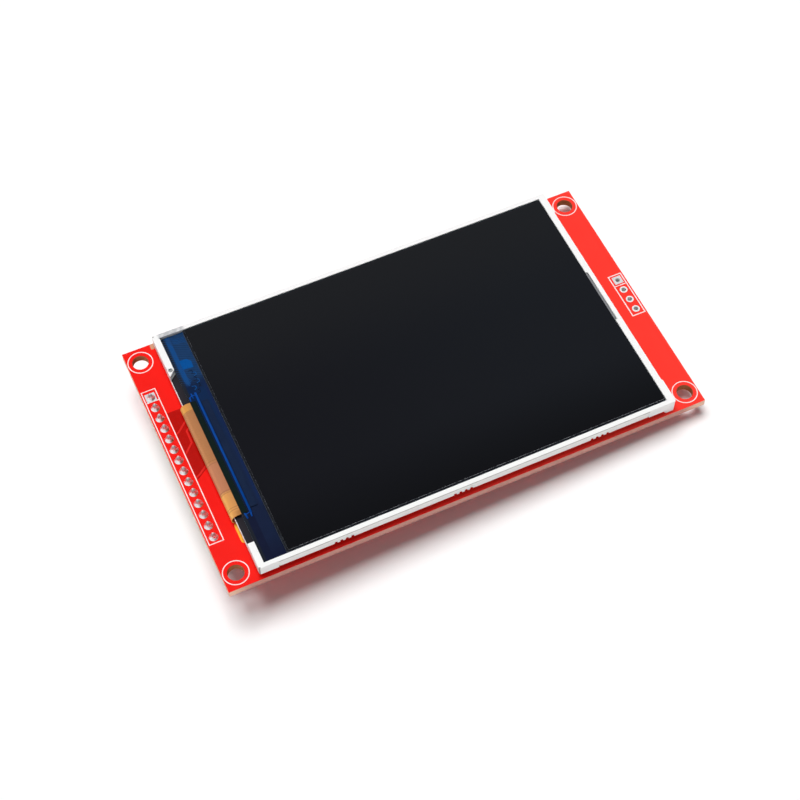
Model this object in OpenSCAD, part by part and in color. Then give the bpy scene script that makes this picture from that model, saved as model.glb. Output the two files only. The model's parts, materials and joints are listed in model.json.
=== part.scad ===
// Colour display module: a backlit glass panel taped to a carrier board, with a pin
// header and a memory card socket under the board.
// Millimetres. The origin is the centre of the mounting-hole pattern on the board's
// upper face. +X points away from the pin header and +Z points out of the screen.

/* [Board] */
// Length of the board along X
board_l = 98; // [94:0.5:110]
// Width of the board along Y
board_w = 56.34; // [56.34:0.01:64]
// Thickness of the board
board_t = 1.6; // [1.2:0.1:2.4]
// Diameter of the four mounting holes
mount_hole_d = 3.2; // [2.2:0.1:3.4]
// From a mounting hole's centre to the short edge
mount_inset_x = 2.65; // [2.4:0.05:3.2]
// From a mounting hole's centre to the long edge
mount_inset_y = 3.22; // [2.4:0.01:4]

/* [Pin header] */
// Number of header pins
pin_count = 14; // [8:1:16]
// Spacing of the pins
pin_pitch = 2.54; // [2:0.02:2.54]
// Width of the square pins
pin_w = 0.64; // [0.5:0.02:0.7]
// Length of the tapered point at each end of a pin
pin_point_l = 0.5; // [0.2:0.1:0.8]
// Width of a pin's blunt tip
pin_tip_w = 0.3; // [0.1:0.05:0.4]
// Length of pin above the board
pin_above = 1.4; // [1.2:0.1:2]
// Length of pin below the housing
pin_below = 6; // [3:0.5:9]
// Height of the header's housing
housing_h = 2.54; // [1.5:0.02:3]
// Width of the header's housing
housing_w = 2.5; // [2:0.1:2.6]
// Corner chamfer between two pin positions of the housing
housing_chamfer = 0.5; // [0.2:0.1:0.6]
// From the pin row to the board's short edge
header_inset = 1.65; // [1.3:0.05:2]
// Clearance on each side of a pin in its housing and solder
pin_gap = 0.02; // [0.01:0.01:0.05]
// Added to a pin's diagonal for the diameter of its plated hole
plated_hole_gap = 0.095; // [0.065:0.01:0.245]
// Diameter of a solder cone at the board
solder_d = 1.75; // [1.5:0.05:1.95]
// Height of a solder cone
solder_h = 1.05; // [0.6:0.05:1.1]

/* [Card header holes] */
// Number of plated holes for the card header
card_hole_count = 4; // [2:1:8]
// From the card header holes to the board's other short edge
card_hole_inset = 1.7; // [1.3:0.05:2]

/* [Glass] */
// Length of the filter glass along X
filter_l = 77.75; // [70:0.25:78.75]
// Width of the bare ledge of array glass that carries the driver chip
ledge_w = 4.5; // [4:0.1:5]
// Width of both glasses along Y
glass_w = 53.2; // [48:0.1:53.4]
// Thickness of the array glass
array_t = 0.5; // [0.3:0.05:0.7]
// Thickness of the filter glass
filter_t = 0.5; // [0.3:0.05:0.7]
// Corner chamfer of the glasses
glass_chamfer = 0.3; // [0.1:0.1:0.6]
// Thickness of the front polarizer
front_polarizer_t = 0.2; // [0.1:0.02:0.3]
// Thickness of the rear polarizer
rear_polarizer_t = 0.14; // [0.1:0.02:0.3]
// From the filter glass's edge to the polarizers along the sides and the ledge
polarizer_inset = 0.4; // [0.1:0.05:0.8]
// From the filter glass's edge to the polarizers at the end away from the ledge
polarizer_inset_end = 0.15; // [0.05:0.05:0.8]
// Length of the resin that seals the filling port
seal_l = 12.2; // [6:0.2:20]
// How far the sealing resin stands out of the glass
seal_depth = 0.4; // [0.2:0.05:0.5]

/* [Driver chip] */
// Length of the driver chip
chip_l = 25; // [16:0.5:26]
// Width of the driver chip
chip_w = 1.3; // [0.8:0.1:1.4]
// Height of the driver chip
chip_t = 0.3; // [0.2:0.05:0.4]
// From the display flex to the driver chip
chip_gap = 0.9; // [0.3:0.1:1]

/* [Display flex] */
// Width of the flex where it joins the glass
flex_w = 26.3; // [20:0.1:28]
// Offset of the flex's centre line along Y
flex_shift = -2.45; // [-4:0.05:2]
// Thickness of the flex
flex_t = 0.12; // [0.08:0.02:0.16]
// Width of the strip of flex bonded to the glass
bond_w = 1.2; // [0.8:0.1:1.6]
// How far the fold stands out past the frame
fold_reach = 0.65; // [0.55:0.05:1]
// Length of the tail under the display, from the middle of the fold
tail_l = 9; // [6:0.5:10]
// How much wider the tail is than the flex, on the front side
tail_ear = 4.4; // [2:0.2:6]
// How far the tail's ear stands out past the frame
ear_reach = 0.4; // [0.2:0.1:0.6]
// Corner radius of the tail
tail_r = 0.6; // [0.2:0.1:1]

/* [Backlight frame] */
// Thickness of the frame's long side walls
frame_side = 0.9; // [0.7:0.05:0.95]
// Thickness of the frame's end walls
frame_end = 1.3; // [1:0.1:1.6]
// Width of the inner shelf that carries the glass
shelf_w = 1.8; // [1.2:0.1:2.2]
// Width of the low wall beside the light bay, measured from the frame's outside
bay_wall = 1.8; // [1.5:0.1:2.4]
// Clearance between the glass and the frame
pocket_gap = 0.1; // [0.05:0.05:0.2]
// From the board's header end to the frame
header_strip_l = 6.3; // [6:0.1:9]
// How far the screen stands proud of the frame
screen_proud = 0.1; // [0:0.05:0.2]
// Corner radius of the frame
frame_r = 0.4; // [0.2:0.1:0.8]
// Front end of the low wall under the flex
low_wall_front = -22; // [-24:0.5:-18]
// Rear end of the low wall under the flex
low_wall_rear = 17.4; // [12:0.2:22]
// Slant of the rear end of the low wall
low_wall_slant = 1.2; // [0:0.2:2]
// Diameter of the mould's gate mark
gate_d = 0.9; // [0.4:0.1:1]
// From the low wall's rear end to the gate mark
gate_inset = 0.8; // [0.8:0.1:3]
// Depth of the mould's gate mark
gate_depth = 0.3; // [0.1:0.1:0.5]
// Length of the thickened corners at the frame's plain end
corner_l = 5.5; // [3:0.5:8]
// How far the thickened corners stand out
corner_t = 0.2; // [0.1:0.1:0.4]
// Length along Y of the corner feet that stand on the board
foot_l = 2.5; // [1.5:0.5:4]
// Width along X of the corner feet
foot_w = 1.8; // [1:0.1:3]

/* [Backlight films] */
// Thickness of the foam tape under the display
tape_t = 0.8; // [0.5:0.1:1.5]
// Width of each foam tape
tape_w = 8; // [4:0.5:10]
// From the frame's side to the foam tape
tape_inset = 3.1; // [2:0.1:5]
// From the frame's end to the foam tape on the flex side
tape_clear = 12; // [11:0.5:16]
// Thickness of the reflector
reflector_t = 0.1; // [0.05:0.01:0.15]
// Thickness of the light guide
guide_t = 0.6; // [0.5:0.05:1]
// Thickness of the diffuser
diffuser_t = 0.1; // [0.05:0.01:0.15]
// Thickness of each prism film
prism_t = 0.1; // [0.05:0.01:0.15]
// Thickness of the light shield tape under the glass
shield_t = 0.06; // [0.04:0.02:0.1]
// Width of the light shield tape's rim over the films
shield_lap = 0.5; // [0.2:0.1:0.8]
// Clearance of the light guide and films inside the frame
film_gap = 0.15; // [0.1:0.05:0.3]
// Length of the ear that holds the guide and films in place
film_ear_l = 3; // [2:0.5:6]
// How far that ear stands out
film_ear_w = 0.8; // [0.4:0.1:0.9]

/* [Reflector flaps] */
// From the frame's flex end to the flap folded up each side
flap_inset_flex = 4; // [2:0.5:6]
// From the frame's plain end to that flap
flap_inset_plain = 5.6; // [4:0.2:8]
// Height of frame left bare above the flap
flap_margin = 0.3; // [0.2:0.05:0.6]
// Width of the groove around the flap
flap_gap = 0.2; // [0.1:0.05:0.25]
// Depth of the recess that the flap lies in
flap_recess = 0.25; // [0.2:0.05:0.4]
// From the flap's flex end to the first group of notches in its fold
notch_first = 12.7; // [6:0.1:20]
// From the first group of notches to the middle one
notch_step_flex = 24; // [16:0.5:26]
// From the middle group of notches to the last one
notch_step_plain = 28.5; // [16:0.5:30]
// Number of notches in a group
notch_count = 4; // [2:1:6]
// Spacing of the notches in a group
notch_pitch = 1.1; // [0.9:0.1:1.4]
// Width of a notch
notch_w = 0.6; // [0.3:0.1:0.7]
// Height of a notch
notch_h = 0.6; // [0.3:0.1:1]
// Depth of a notch behind the flap
notch_depth = 0.2; // [0.1:0.05:0.3]

/* [Light strip] */
// Number of lamps in the backlight
led_count = 6; // [3:1:8]
// Length of a lamp
led_l = 3.8; // [2:0.1:4.2]
// Depth of a lamp
led_d = 1; // [0.6:0.1:1.2]
// Height of a lamp
led_h = 0.45; // [0.3:0.05:0.48]
// Depth of the recess in a lamp's bright face
led_recess = 0.15; // [0.05:0.05:0.3]
// Rim around that recess
led_rim = 0.1; // [0.05:0.01:0.12]
// From the low wall to the light guide
bay_w = 2.2; // [1.6:0.1:2.6]
// Thickness of the flex strip that carries the lamps
strip_t = 0.1; // [0.08:0.01:0.15]
// How far the strip laps over the light guide
strip_lap = 0.8; // [0.4:0.1:1.2]

/* [Card socket] */
// Width of the metal shell
socket_w = 28; // [27:0.1:30]
// Length of the metal shell
socket_l = 26.5; // [24:0.5:32]
// Height of the socket
socket_h = 2.8; // [2.7:0.05:3.2]
// Thickness of the metal shell
shell_t = 0.2; // [0.15:0.01:0.3]
// Outer bend radius of the shell
shell_r = 0.5; // [0.4:0.1:1]
// Clearance between the shell and the plastic base
shell_gap = 0.05; // [0.02:0.01:0.1]
// From the socket's centre to the board's end
socket_inset_x = 21.5; // [19.5:0.5:24]
// From the socket's mouth to the board's long edge
socket_inset_y = 0.5; // [0:0.1:2]
// Width of the space for the card
card_w = 24.3; // [24:0.1:24.6]
// Thickness of the base's floor
floor_t = 0.45; // [0.35:0.05:0.6]
// Thickness of the base's rear wall
rear_t = 2.6; // [1.5:0.1:4]
// Diameter of the base's locating pegs
peg_d = 1.4; // [1:0.1:1.8]
// Length of the locating pegs
peg_l = 1.1; // [0.6:0.1:1.1]
// Clearance around a peg, on the diameter
peg_gap = 0.1; // [0.05:0.05:0.2]
// From the mouth to the locating pegs
peg_inset = 5; // [3:0.5:8]
// Width of the finger notch in the shell's mouth
thumb_w = 13; // [8:0.5:18]
// Depth of the finger notch
thumb_d = 2.6; // [1:0.2:4]
// Width of the two spring tongues stamped in the shell
tongue_w = 2; // [1.4:0.2:3]
// Length of the spring tongues
tongue_l = 7; // [4:0.5:9]
// Gap cut around a tongue
tongue_gap = 0.5; // [0.3:0.1:0.8]
// Number of card contacts
contact_count = 9; // [7:1:9]
// Spacing of the card contacts
contact_pitch = 2.5; // [2:0.1:2.5]
// Width of a card contact
contact_w = 1; // [0.6:0.1:1.4]
// Thickness of a card contact
contact_t = 0.15; // [0.1:0.05:0.2]
// Height of a card contact's crest above the floor
contact_rise = 1; // [0.5:0.1:1.2]
// Length of a contact's spring inside the socket
contact_l = 8; // [6:0.5:10]
// Length of a contact's solder tail behind the socket
contact_tail = 1.3; // [0.8:0.1:1.8]
// Length of a shell solder tab along Y
tab_l = 2.2; // [1.5:0.1:3]
// Width of a shell solder tab
tab_w = 1.1; // [0.8:0.1:1.5]

/* [Small parts] */
// Length of a three-lead package's body
package_l = 2.9; // [2.6:0.1:3.2]
// Width of a three-lead package's body
package_w = 1.3; // [1.2:0.1:1.7]
// Height of a three-lead package
package_h = 1.1; // [0.9:0.05:1.3]
// Spacing of the two leads on one side
lead_pitch = 1.9; // [1.6:0.1:2]
// Width of a lead
lead_w = 0.4; // [0.3:0.05:0.5]
// Thickness of a lead
lead_t = 0.12; // [0.08:0.02:0.2]
// How far a lead reaches out of the body
lead_reach = 0.6; // [0.5:0.05:0.8]
// Length of a chip resistor or capacitor
passive_l = 2; // [1.6:0.1:2.2]
// Width of a chip resistor or capacitor
passive_w = 1.25; // [0.8:0.05:1.4]
// Height of a chip resistor
resistor_h = 0.5; // [0.35:0.05:0.6]
// Height of a chip capacitor
capacitor_h = 0.9; // [0.6:0.05:1.25]
// Length of the metal ends of a resistor or capacitor
cap_end_l = 0.4; // [0.2:0.05:0.5]
// How far the metal ends stand out around the body
cap_end_t = 0.04; // [0.02:0.01:0.06]
// Number of resistors
resistor_count = 5; // [1:1:6]
// Number of capacitors
capacitor_count = 3; // [1:1:4]
// Spacing of the resistors and capacitors in their row
passive_pitch = 3.6; // [3:0.2:4.2]
// From the header row to the row of resistors and capacitors
passive_inset = 7; // [5:0.5:12]
// From the header row to the regulator and the transistor
package_inset = 14; // [11:0.5:18]

/* [Hidden] */
$fn = 48;
cut = 1;

// Places on the board
board_end = board_l / 2;
board_side = board_w / 2;
mount_x = board_end - mount_inset_x;
mount_y = board_side - mount_inset_y;
header_x = header_inset - board_end;
card_hole_x = board_end - card_hole_inset;
plated_hole_d = pin_w * sqrt(2) + plated_hole_gap;
socket_x = board_end - socket_inset_x;
socket_y = board_side - socket_inset_y;
peg_x = (card_w + socket_w) / 4 - shell_t;

// Plan of the display
array_l = filter_l + ledge_w;
frame_x0 = header_strip_l - board_end;
pocket_x0 = frame_x0 + frame_end;
array_x0 = pocket_x0 + pocket_gap;
array_x1 = array_x0 + array_l;
filter_x0 = array_x0 + ledge_w;
glass_y = glass_w / 2;
polarizer_x0 = filter_x0 + polarizer_inset;
polarizer_x1 = array_x1 - polarizer_inset_end;
polarizer_y = glass_y - polarizer_inset;
pocket_x1 = array_x1 + pocket_gap;
pocket_y = glass_y + pocket_gap;
frame_x1 = pocket_x1 + frame_end;
frame_y = pocket_y + frame_side;
opening_x0 = frame_x0 + bay_wall;
opening_x1 = pocket_x1 - shelf_w;
opening_y = pocket_y - shelf_w;
guide_x0 = opening_x0 + bay_w;
guide_x1 = opening_x1 - film_gap;
film_x0 = guide_x0 + strip_lap + film_gap;
film_y = opening_y - film_gap;
film_ear_x = (guide_x0 + guide_x1) / 2;
flap_x0 = frame_x0 + flap_inset_flex;
flap_x1 = frame_x1 - flap_inset_plain;
flap_y = frame_y - flap_recess;

// Heights of the display's layers above the board
frame_z = tape_t + reflector_t;
guide_top = frame_z + guide_t;
prism_z = guide_top + diffuser_t;
shelf_z = prism_z + 2 * prism_t;
rear_polarizer_z = shelf_z + shield_t;
array_z = rear_polarizer_z + rear_polarizer_t;
filter_z = array_z + array_t;
front_polarizer_z = filter_z + filter_t;
screen_z = front_polarizer_z + front_polarizer_t;
frame_top = screen_z - screen_proud;
flap_top = frame_top - flap_margin;

// The display flex's fold
fold_r = (filter_z + flex_t) / 2;
fold_x = frame_x0 - fold_reach + fold_r;
tail_x1 = fold_x + tail_l;
ear_x0 = frame_x0 - ear_reach;

// Colours
mask_red = [0.86, 0.13, 0.1];
gold = [0.83, 0.62, 0.28];
tin = [0.78, 0.79, 0.8];
steel = [0.72, 0.73, 0.75];
ink_black = [0.07, 0.07, 0.08];
frame_white = [0.95, 0.95, 0.94];
film_white = [0.98, 0.98, 0.98];
glass_tint = [0.1, 0.16, 0.26];
flex_orange = [0.8, 0.5, 0.25];

HEADER_PINS = [for (i = [1:pin_count]) str("header_pin_", i)];
LEDS = [for (i = [1:led_count]) str("led_", i)];
RESISTORS = [for (i = [1:resistor_count]) str("resistor_", i)];
CAPACITORS = [for (i = [1:capacitor_count]) str("capacitor_", i)];

// ---- Helpers ----

// Place of copy i (from 0) in a centred row of n copies
function row_place(i, n, pitch) = (i - (n - 1) / 2) * pitch;
function unit(v) = v / norm(v);
function left_of(v) = [-v[1], v[0]];

// Mitred sideways step at point i of a path
function side_step(path, i) =
    let (a = path[max(i, 1)] - path[max(i, 1) - 1])
    let (j = min(i, len(path) - 2))
    let (b = path[j + 1] - path[j])
    let (n = unit(left_of(unit(a)) + left_of(unit(b))))
    n / (n * left_of(unit(b)));

// Outline of a strip of thickness t along the middle line "path"
function ribbon(path, t) = concat(
    [for (i = [0:len(path) - 1]) path[i] + side_step(path, i) * t / 2],
    [for (i = [len(path) - 1:-1:0]) path[i] - side_step(path, i) * t / 2]
);

// A flat sheet between two X places, symmetric about the X axis, with chamfered corners
module sheet(x0, x1, half_w, z, t, chamfer = 0) {
    outline = [
        [x0 + chamfer, -half_w],
        [x1 - chamfer, -half_w],
        [x1, -half_w + chamfer],
        [x1, half_w - chamfer],
        [x1 - chamfer, half_w],
        [x0 + chamfer, half_w],
        [x0, half_w - chamfer],
        [x0, -half_w + chamfer]
    ];
    translate([0, 0, z]) linear_extrude(t) polygon(outline);
}

// Flat rectangle with four round corners
module round_rect(x0, x1, y0, y1, r) {
    translate([x0 + r, y0]) square([x1 - x0 - 2 * r, y1 - y0]);
    translate([x0, y0 + r]) square([x1 - x0, y1 - y0 - 2 * r]);
    for (x = [x0 + r, x1 - r], y = [y0 + r, y1 - r]) translate([x, y]) circle(r);
}

// A profile drawn in YZ, extruded along X about x = 0
module along_x(w) {
    translate([-w / 2, 0, 0]) rotate([90, 0, 90]) linear_extrude(w) children();
}

// Places a part upside down on the board's lower face
module on_underside(x, y) {
    translate([x, y, -board_t]) mirror([0, 0, 1]) children();
}

// ---- Board ----

module mount_places() {
    for (x = [-mount_x, mount_x], y = [-mount_y, mount_y]) translate([x, y]) children();
}

module header_places() {
    for (i = [0:pin_count - 1]) translate([header_x, row_place(i, pin_count, pin_pitch)]) children();
}

module card_hole_places() {
    for (i = [0:card_hole_count - 1])
        translate([card_hole_x, row_place(i, card_hole_count, pin_pitch)]) children();
}

module board() {
    color(mask_red)
        translate([0, 0, -board_t])
            linear_extrude(board_t)
                difference() {
                    square([board_l, board_w], center = true);
                    mount_places() circle(d = mount_hole_d);
                    header_places() circle(d = plated_hole_d);
                    card_hole_places() circle(d = plated_hole_d);
                    for (side = [-1, 1])
                        translate([socket_x + side * peg_x, socket_y - peg_inset])
                            circle(d = peg_d + peg_gap);
                }
}

// ---- Pin header ----

// One pin position of the housing, seen from above, with snapped corners
module housing_cell() {
    half_w = housing_w / 2;
    half_p = pin_pitch / 2;
    inner_w = half_w - housing_chamfer;
    inner_p = half_p - housing_chamfer;
    polygon([
        [-half_w, -inner_p], [-inner_w, -half_p], [inner_w, -half_p], [half_w, -inner_p],
        [half_w, inner_p], [inner_w, half_p], [-inner_w, half_p], [-half_w, inner_p]
    ]);
}

module header_housing() {
    color(ink_black)
        translate([0, 0, -board_t - housing_h])
            linear_extrude(housing_h)
                difference() {
                    header_places() housing_cell();
                    header_places() square(pin_w + 2 * pin_gap, center = true);
                }
}

// Side view of a square pin with a tapered point at each end
module pin_side() {
    low = -board_t - housing_h - pin_below;
    half_w = pin_w / 2;
    half_tip = pin_tip_w / 2;
    rotate([90, 0, 0])
        linear_extrude(pin_w, center = true)
            polygon([
                [-half_tip, low], [half_tip, low],
                [half_w, low + pin_point_l], [half_w, pin_above - pin_point_l],
                [half_tip, pin_above], [-half_tip, pin_above],
                [-half_w, pin_above - pin_point_l], [-half_w, low + pin_point_l]
            ]);
}

module header_pin(i) {
    color(gold)
        translate([header_x, row_place(i - 1, pin_count, pin_pitch), 0])
            intersection() {
                pin_side();
                rotate([0, 0, 90]) pin_side();
            }
}

// Solder drawn up each pin in a hollow-sided cone
module header_solder() {
    steps = 5;
    foot_r = solder_d / 2;
    top_r = pin_w * 0.62;
    flank = [for (s = [0:steps]) [top_r + (foot_r - top_r) * pow(1 - s / steps, 2), solder_h * s / steps]];
    color(tin)
        header_places()
            difference() {
                rotate_extrude() polygon(concat([[0, 0]], flank, [[0, solder_h]]));
                translate([0, 0, solder_h / 2])
                    cube([pin_w + 2 * pin_gap, pin_w + 2 * pin_gap, solder_h + cut], center = true);
            }
}

// ---- Tape and films ----

// Foam tape between the display and the board, side -1 in front and 1 behind
module mounting_tape(side) {
    tape_l = frame_x1 - foot_w - frame_x0 - tape_clear;
    color(ink_black)
        translate([frame_x0 + tape_clear, side * (frame_y - tape_inset - tape_w / 2) - tape_w / 2, 0])
            cube([tape_l, tape_w, tape_t]);
}

// Plan of the light guide and the films: a sheet with an ear on each side
module film_plan(x0) {
    translate([x0, -film_y]) square([guide_x1 - x0, 2 * film_y]);
    translate([film_ear_x - film_ear_l / 2, -film_y - film_ear_w])
        square([film_ear_l, 2 * (film_y + film_ear_w)]);
}

module film(x0, z, t) {
    translate([0, 0, z]) linear_extrude(t) film_plan(x0);
}

// Short slots along the fold of the reflector, cut a little into both side walls
module fold_notches() {
    first = flap_x0 + notch_first;
    middle = first + notch_step_flex;
    for (x = [first, middle, middle + notch_step_plain])
        for (i = [0:notch_count - 1], side = [0, 1])
            mirror([0, side, 0])
                translate([x + row_place(i, notch_count, notch_pitch), flap_y - notch_depth, tape_t - cut])
                    translate([-notch_w / 2, 0, 0])
                        cube([notch_w, notch_depth + flap_recess + cut, notch_h + cut]);
}

// Reflector under the frame, with a flap folded up each long side
module reflector_film() {
    flap_l = flap_x1 - flap_x0;
    middle_y = flap_y - flap_recess;
    color(film_white)
        difference() {
            union() {
                sheet(frame_x0 + flap_recess, frame_x1 - foot_w - flap_gap, middle_y, tape_t, reflector_t);
                for (side = [0, 1])
                    mirror([0, side, 0])
                        translate([flap_x0 + flap_l / 2, 0, 0])
                            along_x(flap_l) {
                                translate([middle_y, tape_t]) square([flap_recess, reflector_t]);
                                intersection() {
                                    translate([flap_y, frame_z]) circle(reflector_t);
                                    translate([flap_y, tape_t]) square(reflector_t);
                                }
                                translate([flap_y, frame_z]) square([reflector_t, flap_top - frame_z]);
                            }
            }
            fold_notches();
        }
}

module light_guide() {
    color([0.85, 0.9, 0.92]) film(guide_x0, frame_z, guide_t);
}

module diffuser_film() {
    color(film_white) film(film_x0, guide_top, diffuser_t);
}

module prism_film_lower() {
    color([0.88, 0.9, 0.93]) film(film_x0, prism_z, prism_t);
}

module prism_film_upper() {
    color([0.86, 0.89, 0.93]) film(film_x0, prism_z + prism_t, prism_t);
}

// ---- Light strip ----

module led_strip() {
    color(flex_orange)
        sheet(opening_x0 + film_gap, guide_x0 + strip_lap, film_y, guide_top, strip_t);
}

// A side-firing lamp hanging under the strip, facing the light guide
module led(i) {
    place = row_place(i - 1, led_count, 2 * opening_y / led_count);
    color([0.93, 0.93, 0.85])
        translate([guide_x0 - pin_gap - led_d, place - led_l / 2, guide_top - led_h])
            difference() {
                cube([led_d, led_l, led_h]);
                translate([led_d - led_recess, led_rim, led_rim])
                    cube([led_recess + cut, led_l - 2 * led_rim, led_h - 2 * led_rim]);
            }
}

// ---- Backlight frame ----

// Plan of the pocket that holds the glass, open over the low wall under the flex
module pocket_plan() {
    translate([pocket_x0, -pocket_y]) square([pocket_x1 - pocket_x0, 2 * pocket_y]);
    translate([pocket_x1 - cut, -seal_l / 2 - pocket_gap])
        square([cut + seal_depth, seal_l + 2 * pocket_gap]);
    polygon([
        [pocket_x0 + cut, low_wall_front],
        [frame_x0 - cut, low_wall_front],
        [frame_x0 - cut, low_wall_rear],
        [frame_x0, low_wall_rear],
        [pocket_x0, low_wall_rear + low_wall_slant],
        [pocket_x0 + cut, low_wall_rear + low_wall_slant]
    ]);
}

module frame_plan() {
    round_rect(frame_x0, frame_x1, -frame_y, frame_y, frame_r);
    for (side = [0, 1])
        mirror([0, side])
            round_rect(frame_x1 - frame_end, frame_x1 + corner_t, frame_y - corner_l, frame_y, frame_r);
}

// Plan of the opening for the light guide, the films and the lamps
module opening_plan() {
    translate([opening_x0, -opening_y]) square([opening_x1 - opening_x0, 2 * opening_y]);
    translate([film_ear_x - film_ear_l / 2 - film_gap, -opening_y - film_ear_w])
        square([film_ear_l + 2 * film_gap, 2 * (opening_y + film_ear_w)]);
}

// Recess for the reflector's flap in each long side wall
module flap_recesses() {
    for (side = [0, 1])
        mirror([0, side, 0])
            translate([flap_x0 - flap_gap, flap_y, frame_z - cut])
                cube([flap_x1 - flap_x0 + 2 * flap_gap, flap_recess + cut, flap_top + flap_gap - frame_z + cut]);
}

// Feet that stand on the board at the frame's plain end
module corner_feet() {
    for (side = [0, 1])
        mirror([0, side, 0])
            linear_extrude(frame_z + cut / 2)
                round_rect(frame_x1 - foot_w, frame_x1 + corner_t, frame_y - foot_l, frame_y, frame_r);
}

module backlight_frame() {
    gate_x = (frame_x0 + pocket_x0) / 2;
    gate_y = low_wall_rear + low_wall_slant / 2 + gate_inset;
    color(frame_white)
        union() {
            difference() {
                translate([0, 0, frame_z]) linear_extrude(frame_top - frame_z) frame_plan();
                translate([0, 0, shelf_z]) linear_extrude(frame_top) pocket_plan();
                translate([0, 0, frame_z - cut]) linear_extrude(frame_top) opening_plan();
                translate([gate_x, gate_y, frame_top - gate_depth]) cylinder(h = gate_depth + cut, d = gate_d);
                flap_recesses();
                fold_notches();
            }
            corner_feet();
        }
}

// Black tape under the glass, and over the low wall beside the flex
module shield_tape() {
    outline = [
        [array_x0, -glass_y],
        [array_x1, -glass_y],
        [array_x1, glass_y],
        [array_x0, glass_y],
        [array_x0, low_wall_rear + low_wall_slant - pocket_gap],
        [frame_x0 + pocket_gap, low_wall_rear - pocket_gap],
        [frame_x0 + pocket_gap, low_wall_front + pocket_gap],
        [array_x0, low_wall_front + pocket_gap]
    ];
    color(ink_black)
        translate([0, 0, shelf_z])
            linear_extrude(shield_t)
                difference() {
                    polygon(outline);
                    translate([film_x0 + shield_lap, -film_y + shield_lap])
                        square([guide_x1 - film_x0 - 2 * shield_lap, 2 * (film_y - shield_lap)]);
                }
}

// ---- Glass ----

module rear_polarizer() {
    color(glass_tint) sheet(polarizer_x0, polarizer_x1, polarizer_y, rear_polarizer_z, rear_polarizer_t);
}

module array_glass() {
    color(glass_tint) sheet(array_x0, array_x1, glass_y, array_z, array_t, glass_chamfer);
}

module filter_glass() {
    color(glass_tint) sheet(filter_x0, array_x1, glass_y, filter_z, filter_t, glass_chamfer);
}

module front_polarizer() {
    color(ink_black) sheet(polarizer_x0, polarizer_x1, polarizer_y, front_polarizer_z, front_polarizer_t);
}

// Resin bead over the filling port, with round outer corners
module end_seal() {
    half_l = seal_l / 2;
    color([0.5, 0.52, 0.54])
        translate([array_x1, 0, array_z])
            linear_extrude(array_t + filter_t)
                intersection() {
                    translate([0, -half_l]) square([seal_depth, seal_l]);
                    union() {
                        translate([0, seal_depth - half_l]) square([seal_depth, seal_l - 2 * seal_depth]);
                        for (side = [-1, 1]) translate([0, side * (half_l - seal_depth)]) circle(seal_depth);
                    }
                }
}

module driver_chip() {
    color([0.13, 0.16, 0.24])
        translate([array_x0 + bond_w + chip_gap, flex_shift - chip_l / 2, filter_z])
            cube([chip_w, chip_l, chip_t]);
}

// ---- Display flex ----

// Side view in XZ: bonded to the glass, folded round the frame, flat on the board
module flex_side() {
    translate([fold_x, filter_z]) square([array_x0 + bond_w - fold_x, flex_t]);
    translate([fold_x, fold_r])
        difference() {
            circle(fold_r);
            circle(fold_r - flex_t);
            translate([0, -fold_r - cut]) square([fold_r + cut, 2 * (fold_r + cut)]);
        }
    translate([fold_x, 0]) square([tail_l, flex_t]);
}

module display_flex() {
    front = flex_shift - flex_w / 2;
    rear = flex_shift + flex_w / 2;
    color(flex_orange)
        union() {
            translate([0, rear, 0]) rotate([90, 0, 0]) linear_extrude(flex_w) flex_side();
            linear_extrude(flex_t) {
                round_rect(ear_x0, tail_x1, front - tail_ear, front, tail_r);
                translate([fold_x, front - tail_ear + tail_r])
                    square([tail_l, tail_ear]);
            }
        }
}

// ---- Card socket ----
// Drawn with z = 0 at the board's lower face, +Z away from the board and the mouth at y = 0.

// Folded cross-section of the shell: a roof and two sides
module shell_section(w, h, r) {
    translate([-w / 2 + r, 0]) square([w - 2 * r, h]);
    translate([-w / 2, 0]) square([w, h - r]);
    for (side = [-1, 1]) translate([side * (w / 2 - r), h - r]) circle(r);
}

// Cut-outs in the shell's roof: the finger notch and a slot round each spring tongue
module roof_cutouts() {
    half_w = thumb_w / 2;
    tongue_x = socket_w / 4;
    linear_extrude(socket_h + cut) {
        polygon([[-half_w, cut], [-half_w, 0], [thumb_d - half_w, -thumb_d], [half_w - thumb_d, -thumb_d],
            [half_w, 0], [half_w, cut]]);
        for (side = [-1, 1])
            translate([side * tongue_x, -socket_l / 2])
                difference() {
                    square([tongue_w + 2 * tongue_gap, tongue_l + 2 * tongue_gap], center = true);
                    translate([-tongue_w / 2, -tongue_l / 2]) square([tongue_w, tongue_l + 2 * tongue_gap]);
                }
    }
}

module socket_shell() {
    side_z = socket_h * 0.15;
    color(steel)
        on_underside(socket_x, socket_y) {
            difference() {
                rotate([90, 0, 0])
                    linear_extrude(socket_l)
                        difference() {
                            shell_section(socket_w, socket_h, shell_r);
                            shell_section(socket_w - 2 * shell_t, socket_h - shell_t, shell_r - shell_t);
                            translate([-socket_w, -cut]) square([2 * socket_w, side_z + cut]);
                        }
                roof_cutouts();
            }
            shell_tabs(side_z);
        }
}

// Solder tabs bent outwards from the shell's sides, two on each side
module shell_tabs(side_z) {
    for (side = [0, 1], y = [-tab_l * 1.5, tab_l * 1.5 - socket_l])
        mirror([side, 0, 0])
            translate([socket_w / 2 - shell_t, y - tab_l / 2, 0]) {
                cube([shell_t + tab_w, tab_l, shell_t]);
                cube([shell_t, tab_l, side_z]);
            }
}

module contact_places() {
    for (i = [0:contact_count - 1]) translate([row_place(i, contact_count, contact_pitch), 0, 0]) children();
}

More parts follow.
